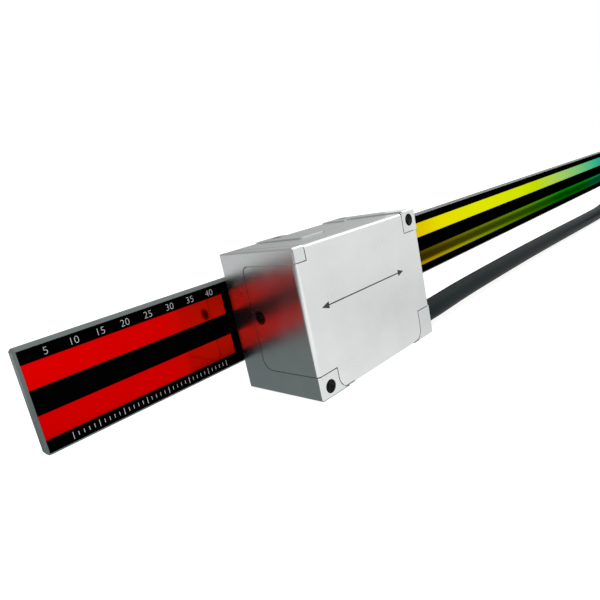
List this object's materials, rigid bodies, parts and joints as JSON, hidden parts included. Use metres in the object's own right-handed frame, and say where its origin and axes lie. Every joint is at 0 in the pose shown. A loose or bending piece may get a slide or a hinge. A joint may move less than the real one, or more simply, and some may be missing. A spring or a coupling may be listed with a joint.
{
  "type": "exposed linear encoder",
  "caption": "Exposed linear encoder: glass scale with grating tracks and a sliding scanning head with coiled cable and round plug.",
  "frame": {"origin": "middle of the glass scale's rear mounting face", "axes": "+X along the scale, +Z across the scale's width, +Y out of the mounting face towards the machine"},
  "size_m": [0.45, 0.0689, 0.032],
  "materials": {
    "float_glass": "polished, ground bevels",
    "black_chromium": "gloss, opaque coating",
    "grating": "reflecting phase grating, colour runs along it",
    "satin_aluminium": "milled, bead blasted, nickel plated",
    "cover_sheet": "stainless sheet, fine satin",
    "black_steel": "black oxide",
    "nitrile": "matt",
    "reticle_glass": "polished",
    "adhesive": "cured adhesive",
    "black_anodised": "black anodised",
    "zinc_steel": "zinc plated",
    "lens_glass": "polished, coated",
    "gold_can": "plated",
    "silicon": "polished silicon",
    "circuit_board": "solder mask",
    "brass_pillar": "turned",
    "chip_package": "moulded epoxy",
    "ceramic_parts": "ceramic with tinned ends",
    "polyimide": "polyimide film",
    "nylon": "moulded",
    "core_insulation": "extruded",
    "pur_jacket": "extruded polyurethane, satin",
    "hook_tape": "woven hook-and-loop",
    "soft_grip": "moulded, matt",
    "contact_carrier": "moulded",
    "gold_contacts": "gold plated",
    "red_seal": "moulded",
    "nickel_brass": "nickel-plated brass, knurled"
  },
  "bodies": {
    "scale": {"glass_substrate": "float_glass", "black_mask": "black_chromium", "grating_upper": "grating", "grating_lower": "grating", "lead_in_strips": "grating"},
    "head": {"head_housing": "satin_aluminium", "front_cover": "cover_sheet", "cover_screw_left": "black_steel", "cover_screw_right": "black_steel", "cover_gasket": "nitrile", "reticle_plate": "reticle_glass", "reticle_bond": "adhesive", "optics_carrier": "black_anodised", "carrier_screws": "zinc_steel", "condenser_lens": "lens_glass", "lens_ring": "black_anodised", "light_source": "gold_can", "detector_array": "silicon", "sensor_board": "circuit_board", "board_pillars": "brass_pillar", "signal_board": "circuit_board", "signal_chip": "chip_package", "board_components": "ceramic_parts", "board_screws": "zinc_steel", "flex_link": "polyimide", "board_connector": "nylon", "wire_plug": "nylon", "cable_cores": "core_insulation", "crimp_ferrule": "gold_can", "cable_clamp": "zinc_steel", "clamp_screw": "zinc_steel", "cable_stub": "pur_jacket", "cable_run": "pur_jacket", "cable_coil": "pur_jacket", "coil_tie": "hook_tape", "cable_tail": "pur_jacket", "bend_relief": "soft_grip", "plug_grip": "soft_grip", "plug_insert": "contact_carrier", "plug_pins": "gold_contacts", "plug_seal": "red_seal"},
    "plug_ring": {"coupling_nut": "nickel_brass"}
  },
  "joints": [
    {"name": "head_travel", "type": "slide", "parent": "scale", "child": "head", "axis": [1, 0, 0], "range_m": [-0.0504, 0.3696]},
    {"name": "ring_turn", "type": "hinge", "parent": "head", "child": "plug_ring", "pos_m": [0.16, -0.021, -0.0086], "axis": [1, 0, 0], "continuous": true}
  ]
}
